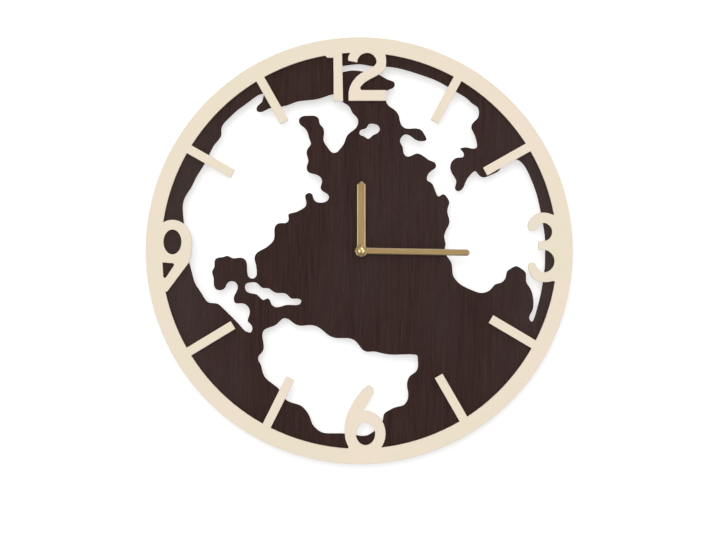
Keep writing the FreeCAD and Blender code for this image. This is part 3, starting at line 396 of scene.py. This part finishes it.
def add_plate(mesh, outline, back, front):
    """Flat plate between two depths, from its outline."""
    low = [mesh.verts.new((x, back, z)) for x, z in outline]
    high = [mesh.verts.new((x, front, z)) for x, z in outline]
    mesh.faces.new(low)
    mesh.faces.new(high)
    for number, point in enumerate(low):
        following = (number + 1) % len(low)
        mesh.faces.new((point, low[following], high[following], high[number]))


groove_floor = cover_high[1] - groove_depth
groove_top = cover_high[1] + groove_depth
marks = bmesh.new()
add_plate(
    marks, bar_outline(-mark_place, mark_height, mark_half, mark_thick),
    groove_floor, groove_top,
)
add_plate(
    marks, plus_outline(mark_place, mark_height, mark_half, mark_thick),
    groove_floor, groove_top,
)
middle_x = (cover_low[0] + cover_high[0]) / 2
middle_z = (cover_low[2] + cover_high[2]) / 2
reach_x = (cover_high[0] - cover_low[0]) / 2 - border_inset
reach_z = (cover_high[2] - cover_low[2]) / 2 - border_inset
add_frame(
    marks,
    bar_outline(middle_x, middle_z, reach_x + groove_half, reach_z + groove_half),
    bar_outline(middle_x, middle_z, reach_x - groove_half, reach_z - groove_half),
    groove_floor, groove_top,
)
rounds = [(knob_x, knob_z, rim_radius)] + [(x, z, pin_radius) for x, z in pin_places]
for x, z, radius in rounds:
    add_frame(
        marks, round_outline(x, z, radius + groove_half),
        round_outline(x, z, radius - groove_half), groove_floor, groove_top,
    )
bmesh.ops.recalc_face_normals(marks, faces=marks.faces)
marks_data = bpy.data.meshes.new("marks")
marks.to_mesh(marks_data)
marks.free()
marks = bpy.data.objects.new("marks", marks_data)
bpy.context.scene.collection.objects.link(marks)

cover = bpy.data.objects.new("engraved_cover", nodes["rear_cover"].data.copy())
bpy.context.scene.collection.objects.link(cover)
weld = cover.modifiers.new("weld", "WELD")
weld.merge_threshold = weld_reach
cut = cover.modifiers.new("marks", "BOOLEAN")
cut.operation = "DIFFERENCE"
cut.solver = "EXACT"
cut.object = marks
cut_cover = cover.evaluated_get(bpy.context.evaluated_depsgraph_get())
cut_data = bpy.data.meshes.new_from_object(cut_cover)
cover.modifiers.clear()
cover.data = cut_data
bpy.data.objects.remove(marks)
cover.data.materials.clear()
cover.data.materials.append(cover_black)
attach(cover, "clock")
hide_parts("rear_cover")

# The setting knob is moulded in white plastic and sits in the cover's well. Its face has
# a raised arrow that bends both ways, and it turns the minute wheel through its pinion.

knob_white = moulded("knob white", colour(196, 195, 187), colour(212, 211, 204), 0.00002)
soften(dress("setting_knob", knob_white), 0.00008)

arrow_radius = 0.0028
arrow_half = 0.00032
arrow_head = 0.00085
arrow_point = 1.7
arrow_sweep = math.radians(118)
arrow_steps = 24
arrow_sink = 0.00005
arrow_rise = 0.00018
arrow_back = knob_high[1] - arrow_sink
arrow_face = knob_high[1] + arrow_rise


def arrow_outline(steps):
    """Points round a bent arrow with a head at each end, on the knob's face."""
    half = arrow_sweep / 2
    tip = half + arrow_head * arrow_point / arrow_radius
    outline = [(tip, 0.0), (half, arrow_head)]
    outline += [(half - 2 * half * n / steps, arrow_half) for n in range(steps + 1)]
    outline += [(-half, arrow_head), (-tip, 0.0), (-half, -arrow_head)]
    outline += [(-half + 2 * half * n / steps, -arrow_half) for n in range(steps + 1)]
    outline += [(half, -arrow_head)]
    points = []
    for turn, offset in outline:
        reach = arrow_radius + offset
        points.append((knob_x + reach * math.sin(turn), knob_z + reach * math.cos(turn)))
    return points


arrow = bmesh.new()
add_plate(arrow, arrow_outline(arrow_steps), arrow_back, arrow_face)
arrow = new_piece("knob_arrow", arrow, knob_white, "setting_knob")
soften(arrow, 0.00004)

# The going train, its plate and the motion wheels are moulded in pale plastic. They are
# inside the case, with a sheen and faint flow marks as moulded acetal has.

acetal = moulded("wheel acetal", colour(206, 205, 196), colour(226, 225, 216), 0.00002)
for name in (
    "minute_wheel", "centre_wheel", "third_wheel", "fourth_wheel", "fifth_wheel",
    "rotor_spindle", "train_plate", "coil_bobbin", "hour_wheel",
):
    dress(name, acetal)

# The bush, the nut, the washer and the minute arbor are turned or stamped from brass. The
# nut runs on the bush's thread and pulls the works to the board.


def turned_brass(name, dark, light, rough, depth):
    """Brass with the fine rings that a lathe leaves, this deep."""
    finish, place = new_finish(name)
    flat = place.part(0) * place.part(0) + place.part(2) * place.part(2)
    away = flat.math("SQRT")
    rings = place.node("ShaderNodeCombineXYZ", {}, {0: away, 1: place.part(1), 2: 0.0})
    cut = rings.noise((0.00009, 0.00012, 1.0), 3.0, 0.6)
    stain = place.noise(0.003, 3.0)
    set_surface(
        finish,
        Base_Color=(0.6 * stain + 0.4 * cut).spread(0.3, 0.7).between(dark, light),
        Metallic=1.0,
        Roughness=rough + 0.14 * cut,
        Normal=cut.bump(depth),
    )
    return finish


fitting_brass = turned_brass(
    "fitting brass", colour(176, 148, 94), colour(204, 178, 122), 0.20, 0.000005
)
for name, width in (
    ("threaded_bush", 0.00012), ("fixing_nut", 0.00035), ("fixing_washer", 0.00010),
):
    soften(dress(name, fitting_brass), width)
dress("minute_arbor", fitting_brass)

# The motor has a sheet-iron stator and core, a copper coil, a small dark magnet on the
# rotor's spindle, and a spring-steel clutch on the minute arbor.


def plain_metal(name, dark, light, rough, stretch):
    """Sheet metal with a rolled grain that runs along the longest size of stretch."""
    finish, place = new_finish(name)
    rolled = place.noise(stretch, 4.0, 0.6)
    cloud = place.noise(0.004, 2.0)
    set_surface(
        finish,
        Base_Color=(0.5 * rolled + 0.5 * cloud).spread(0.3, 0.7).between(dark, light),
        Metallic=1.0,
        Roughness=rough + 0.15 * rolled,
        Normal=rolled.bump(0.00001),
    )
    return finish


iron = plain_metal(
    "soft iron", colour(150, 150, 154), colour(176, 176, 180), 0.34, (0.0002, 0.001, 0.004)
)
dress("stator", iron)
dress("coil_core", iron)
dress("rotor_magnet", plain_metal(
    "magnet", colour(112, 112, 116), colour(140, 140, 144), 0.45, 0.0003
))
dress("clutch_spring", plain_metal(
    "spring steel", colour(168, 166, 160), colour(196, 194, 188), 0.25, (0.0002, 0.001, 0.004)
))

wire_pitch = 0.00011
winding, place = new_finish("copper winding")
turn = place.part(2) / wire_pitch
wire = abs(turn.math("FRACT") - 0.5)
patch = place.noise((0.0006, 0.0006, 0.003), 3.0)
set_surface(
    winding,
    Base_Color=patch.spread(0.3, 0.7).between(colour(150, 74, 38), colour(196, 112, 66)),
    Metallic=1.0,
    Roughness=0.26 + 0.2 * patch,
    Normal=wire.bump(0.00005),
)
dress("coil_winding", winding)

# The circuit is a scrap of laminate with green lacquer, pale tracks, a drop of black
# resin over its chip and the bright can of the crystal.


def inside(value, limit, soft=0.00005):
    """1 where the value is under the limit, with a soft step."""
    return 1 - value.spread(limit - soft, limit + soft)


track_pitch = 0.0019
track_share = 0.16
track_blur = 0.03
laminate, place = new_finish("green laminate")
weave = place.noise(0.0006, 2.0)
turn = (place.part(0) + place.part(2)) / track_pitch
track = inside(abs(turn.math("FRACT") - 0.5), track_share, track_blur)
lacquer = weave.between(colour(28, 78, 46), colour(38, 96, 58))
set_surface(
    laminate,
    Base_Color=(0.6 * track).between(lacquer, colour(70, 128, 84)),
    Roughness=0.34 + 0.12 * weave,
    Normal=(0.6 * track + 0.2 * weave).bump(0.00003),
)
dress("circuit_board", laminate)

resin, place = new_finish("black resin")
ripple = place.noise(0.0012, 2.0)
set_surface(
    resin,
    Base_Color=ripple.between(colour(14, 14, 15), colour(30, 30, 31)),
    Roughness=0.18 + 0.16 * ripple,
    Normal=ripple.bump(0.00005),
)
dress("chip", resin)
dress("quartz_crystal", plain_metal(
    "crystal can", colour(186, 186, 184), colour(212, 212, 210), 0.22, (0.003, 0.0003, 0.0003)
))

# The contacts are bent from nickel-plated sheet steel. Their leaves press on the cell's
# ends, and their legs lead to the circuit.

nickel = plain_metal(
    "nickel plate", colour(192, 190, 182), colour(220, 218, 210), 0.20, (0.0002, 0.003, 0.001)
)
for name in ("positive_contact", "negative_contact"):
    soften(dress(name, nickel), 0.00008)

# The cell is a drawn steel can in a shrunk film. The film is plain: dark green, with a
# bronze band at the positive end and a thin overlap seam along it.

can = plain_metal(
    "cell can", colour(200, 200, 202), colour(224, 224, 226), 0.22, (0.004, 0.0004, 0.0004)
)
soften(dress("battery_can", can), 0.00035)

film, place = new_finish("cell film")
sleeve_low, sleeve_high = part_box("battery_sleeve")
sleeve_radius = (sleeve_high[1] - sleeve_low[1]) / 2
sleeve_depth = (sleeve_high[1] + sleeve_low[1]) / 2
sleeve_height = (sleeve_low[2] + sleeve_high[2]) / 2
band_share = 0.74
band_blur = 0.00006
stripe_gap = 0.0011
stripe_half = 0.00022
seam_share = 0.72
seam_half = 0.00012
band_start = sleeve_low[0] + band_share * (sleeve_high[0] - sleeve_low[0])
bronze = place.part(0).spread(band_start - band_blur, band_start + band_blur)
pinstripe = inside(abs(place.part(0) - (band_start - stripe_gap)), stripe_half)
shrink = place.noise((0.006, 0.0011, 0.0011), 3.0)
body_green = shrink.between(colour(28, 52, 44), colour(36, 62, 52))
body_bronze = shrink.between(colour(146, 118, 80), colour(172, 142, 98))
skin = bronze.math("MAXIMUM", bronze, pinstripe).between(body_green, body_bronze)
from_seam = place.part(1) - sleeve_depth - seam_share * sleeve_radius
seam = inside(abs(from_seam), seam_half) * inside(place.part(2), sleeve_height)
set_surface(
    film,
    Base_Color=skin,
    Metallic=0.55 * bronze,
    Roughness=0.24 + 0.12 * shrink,
    Normal=(0.12 * shrink + seam).bump(0.00008),
    Coat_Weight=0.4,
    Coat_Roughness=0.12,
)
dress("battery_sleeve", film)

# The hands are stamped from brass strip with bevelled edges, brushed along their length
# and lacquered. Each is riveted on a small collar that is pressed on its tube.


def brushed_brass(name, direction):
    """Brass brushed along a hand that points in a direction, clockwise from the top."""
    finish, place = new_finish(name)
    sine, cosine = math.sin(direction), math.cos(direction)
    along = sine * place.part(0) + cosine * place.part(2)
    across = cosine * place.part(0) - sine * place.part(2)
    lying = place.node("ShaderNodeCombineXYZ", {}, {0: across, 1: place.part(1), 2: along})
    line = lying.noise((0.00016, 0.001, 0.012), 4.0, 0.65)
    wide = lying.noise((0.0011, 0.004, 0.030), 2.0)
    tarnish = place.noise(0.010, 3.0)
    shade = (0.45 * line + 0.35 * wide + 0.20 * tarnish).spread(0.34, 0.66)
    strip = shade.between(colour(202, 166, 108), colour(231, 197, 140))
    # Painted shade: the bevel facets get a darker, greyer brass than the flat face, standing
    # in for how their reflections look.
    bevel_painted_shade = side_mask(place, 0.94, 0.985)
    set_surface(
        finish,
        Base_Color=bevel_painted_shade.between(strip, colour(152, 135, 105)),
        Metallic=1.0,
        Roughness=0.27 + 0.12 * line,
        Normal=(line + 0.3 * wide).bump(0.00002),
        Coat_Weight=0.35,
        Coat_Roughness=0.25,
    )
    return finish


hour_brass = brushed_brass("hour hand brass", 0.0)
minute_brass = brushed_brass("minute hand brass", math.radians(91))
for name, finish in (("hour_hand", hour_brass), ("minute_hand", minute_brass)):
    soften(dress(name, finish), 0.00007, angle=12.0)
for name in ("hour_hand_bush", "minute_hand_bush"):
    dress(name, fitting_brass)

# The cap nut is turned from brass with a domed end and polished bright. It screws on the
# minute arbor's thread and holds the minute hand.

mirror_brass = turned_brass(
    "polished brass", colour(222, 196, 140), colour(240, 216, 160), 0.05, 0.000003
)
soften(dress("hand_cap_nut", mirror_brass), 0.00012)

# The wall is the stage: a plain white wall that keeps the clock's shadow. It is open
# from behind, so that the back of the clock can be looked at.

wall_half = 2.5
wall_depth = 0.001
wall_tiles = 40
wall_glow = 0.51
wall_paint = bpy.data.materials.new("wall paint")
wall_paint.use_nodes = True
wall_tree = wall_paint.node_tree
ray = wall_tree.nodes.new("ShaderNodeLightPath")
seen = Tone(wall_tree, ray.outputs["Is Camera Ray"])
behind = Tone(wall_tree, wall_tree.nodes.new("ShaderNodeNewGeometry").outputs["Backfacing"])
roller = Tone(wall_tree, wall_tree.nodes.new("ShaderNodeTexCoord").outputs["Object"])
roller = roller.noise(0.004, 3.0)
lit = seen.node(
    "ShaderNodeBsdfDiffuse", {},
    {"Color": roller.between(colour(221, 220, 220), colour(224, 224, 223))},
)
glow = seen.node("ShaderNodeEmission", {}, {"Strength": wall_glow * seen})
open_back = seen.node("ShaderNodeBsdfTransparent", {}, {})
front = seen.node("ShaderNodeAddShader", {}, {0: lit, 1: glow})
both = seen.node("ShaderNodeMixShader", {}, {0: behind, 1: front, 2: open_back})
wall_tree.links.new(both.socket, wall_tree.nodes["Material Output"].inputs["Surface"])

wall_mesh = bmesh.new()
upright = Matrix.Translation((0, wall_depth, 0)) @ Matrix.Rotation(math.radians(90), 4, "X")
bmesh.ops.create_grid(
    wall_mesh, x_segments=wall_tiles, y_segments=wall_tiles, size=wall_half, matrix=upright
)
wall_data = bpy.data.meshes.new("wall")
wall_mesh.to_mesh(wall_data)
wall_mesh.free()
wall_data.materials.append(wall_paint)
wall = bpy.data.objects.new("wall", wall_data)
bpy.context.scene.collection.objects.link(wall)
wall.visible_shadow = False
wall.visible_glossy = False
wall.visible_diffuse = False

# A large soft lamp stands far behind the camera, a little above it and to the left, so
# the shadows stay close to the edges. A second one lights the back of the clock.


def add_lamp(name, spot, size, power):
    """Square soft lamp at a spot, turned to the axis of the hands."""
    lamp = bpy.data.lights.new(name, "AREA")
    lamp.shape = "SQUARE"
    lamp.size = size
    lamp.energy = power
    holder = bpy.data.objects.new(name, lamp)
    holder.location = spot
    holder.rotation_euler = (-Vector(spot)).to_track_quat("-Z", "Y").to_euler()
    holder.visible_camera = False
    holder.visible_glossy = False
    bpy.context.scene.collection.objects.link(holder)


add_lamp("key lamp", spot=(-0.26, -6.6, 0.90), size=3.0, power=258)
add_lamp("back lamp", spot=(0.3, 1.6, 0.5), size=1.2, power=18)

# The studio round the clock is pale, and its panels show only in reflections: bright ones
# at both sides and above, dark ones at the camera, the floor and the upper left corner.

room_light = 0.42
studio_light = 0.74
studio_panels = (
    ((0, -1, 0), 15, 7, -0.42),
    ((-0.1, -0.6, -1), 40, 20, -0.45),
    ((-1, -1, -0.1), 19, 12, 1.7),
    ((1, -1, -0.1), 19, 12, 1.7),
    ((0.35, -0.7, 1), 24, 14, 1.5),
    ((-0.8, -0.9, 0.9), 25, 15, -0.3),
)
sky = bpy.data.worlds.new("studio")
sky.use_nodes = True
bpy.context.scene.world = sky
sky_tree = sky.node_tree
ray = sky_tree.nodes.new("ShaderNodeLightPath")
seen = Tone(sky_tree, ray.outputs["Is Camera Ray"])
mirrored = Tone(sky_tree, ray.outputs["Is Glossy Ray"])
direction = Tone(sky_tree, sky_tree.nodes.new("ShaderNodeTexCoord").outputs["Generated"])


def panel(aim, edge, core):
    """1 on a round patch of the studio, from its core out to its soft edge, in degrees."""
    toward = direction.vector("DOT_PRODUCT", Vector(aim).normalized(), 1)
    return toward.spread(math.cos(math.radians(edge)), math.cos(math.radians(core)))


studio = studio_light
for aim, edge, core, light in studio_panels:
    studio = studio + light * panel(aim, edge, core)
room = room_light * (1 - seen) * (1 - mirrored) + seen
room = mirrored * studio + room
sky_tree.links.new(room.socket, sky_tree.nodes["Background"].inputs["Strength"])
sky_tree.nodes["Background"].inputs["Color"].default_value = (1, 1, 1, 1)

# The camera stands two metres off with a long lens, and looks straight at the wall from
# just below the middle of the dial.

camera_data = bpy.data.cameras.new("camera")
camera_data.sensor_width = 36
camera_data.lens = 122.7
camera = bpy.data.objects.new("camera", camera_data)
camera.location = (-0.00270, -2.0268, -0.01572)
camera.rotation_euler = (math.radians(90), 0, 0)
bpy.context.scene.collection.objects.link(camera)
bpy.context.scene.camera = camera
bpy.context.scene.view_settings.view_transform = "Standard"
